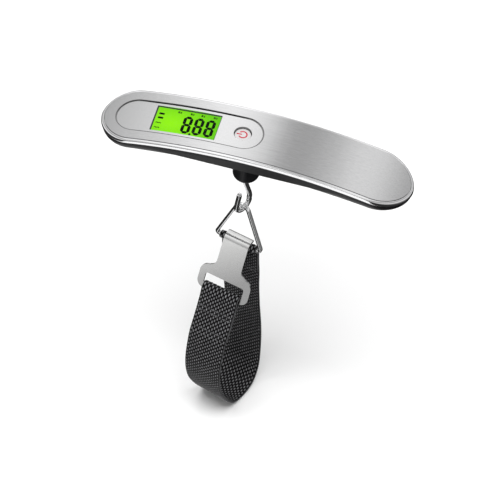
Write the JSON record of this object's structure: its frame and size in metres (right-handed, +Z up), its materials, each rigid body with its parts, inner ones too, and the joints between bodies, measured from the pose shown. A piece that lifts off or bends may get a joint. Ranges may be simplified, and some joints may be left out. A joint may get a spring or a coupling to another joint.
{
  "type": "digital luggage scale",
  "caption": "Arched hand-held luggage scale with a small display, a swivelling hook, a triangular ring and a webbing loop that closes with a slotted metal buckle.",
  "frame": {"origin": "where the load line (the hook's swivel axis) meets the crown of the arched face", "axes": "+Z up along the load line, +X along the handle away from the display, +Y away from the user who reads the display with it on the left"},
  "size_m": [0.155, 0.0453, 0.193],
  "materials": {
    "steel_plate": "brushed lengthways, satin",
    "silver_trim": "metallised plastic, semi-bright",
    "silver_bezel": "fine satin",
    "black_shell": "moulded black, satin",
    "clear_window": "clear, flat",
    "lcd": "green backlit display",
    "diffuser": "translucent",
    "grey_rubber": "matt",
    "board_green": "solder mask",
    "potting_black": "epoxy",
    "button_white": "smooth white",
    "cell_steel": "nickel plated can",
    "contact_metal": "sprung strip",
    "beam_alloy": "machined",
    "potting_white": "silicone",
    "zinc_steel": "zinc plated",
    "bush_white": "acetal",
    "chrome_wire": "bright plated",
    "nickel_buckle": "satin nickel",
    "webbing_black": "ribbed polyester webbing",
    "thread_black": "polyester thread",
    "film": "double-sided adhesive",
    "lead_red": "insulated wire",
    "lead_black": "insulated wire"
  },
  "bodies": {
    "handle": {"face_plate": "steel_plate", "adhesive_film": "film", "upper_casing": "silver_trim", "lower_casing": "black_shell", "display_bezel": "silver_bezel", "display_window": "clear_window", "lcd_panel": "lcd", "backlight": "diffuser", "contact_strips": "grey_rubber", "circuit_board": "board_green", "chip_potting": "potting_black", "tact_switch": "potting_black", "coin_cell": "cell_steel", "cell_contact_top": "contact_metal", "cell_contact_side": "contact_metal", "load_beam": "beam_alloy", "gauge_potting": "potting_white", "anchor_plate": "zinc_steel", "beam_screws": "zinc_steel", "guide_bush": "bush_white", "thrust_washer": "contact_metal", "casing_screws": "zinc_steel", "board_screws": "zinc_steel", "gauge_leads": "lead_red", "battery_leads": "lead_black"},
    "button": {"power_button": "button_white"},
    "door": {"battery_door": "black_shell"},
    "hook_body": {"hook": "chrome_wire", "spindle_nut": "zinc_steel"},
    "ring": {"triangle_ring": "chrome_wire"},
    "strap_body": {"strap": "webbing_black", "strap_stitching": "thread_black"},
    "buckle_body": {"buckle": "nickel_buckle"}
  },
  "joints": [
    {"name": "button_press", "type": "slide", "parent": "handle", "child": "button", "axis": [0.0273, 0, -0.9996], "range_m": [0, 0.0006], "stiffness_N_per_m": 900},
    {"name": "battery_door_lift", "type": "slide", "parent": "handle", "child": "door", "axis": [0, 0, -1], "range_m": [0, 0.012]},
    {"name": "hook_swivel", "type": "hinge", "parent": "handle", "child": "hook_body", "pos_m": [0, 0, -0.0305], "axis": [0, 0, 1], "continuous": true},
    {"name": "ring_swing", "type": "hinge", "parent": "hook_body", "child": "ring", "pos_m": [0, 0, -0.0518], "axis": [0.9694, -0.2453, 0], "range_deg": [-28, 28]},
    {"name": "strap_swing", "type": "hinge", "parent": "ring", "child": "strap_body", "pos_m": [0, 0, -0.08019], "axis": [0.9694, -0.2453, 0], "range_deg": [-70, 70]},
    {"name": "buckle_pivot", "type": "hinge", "parent": "strap_body", "child": "buckle_body", "pos_m": [-0.00335, -0.01325, -0.10562], "axis": [0.9694, -0.2453, 0], "range_deg": [0, 100]}
  ]
}
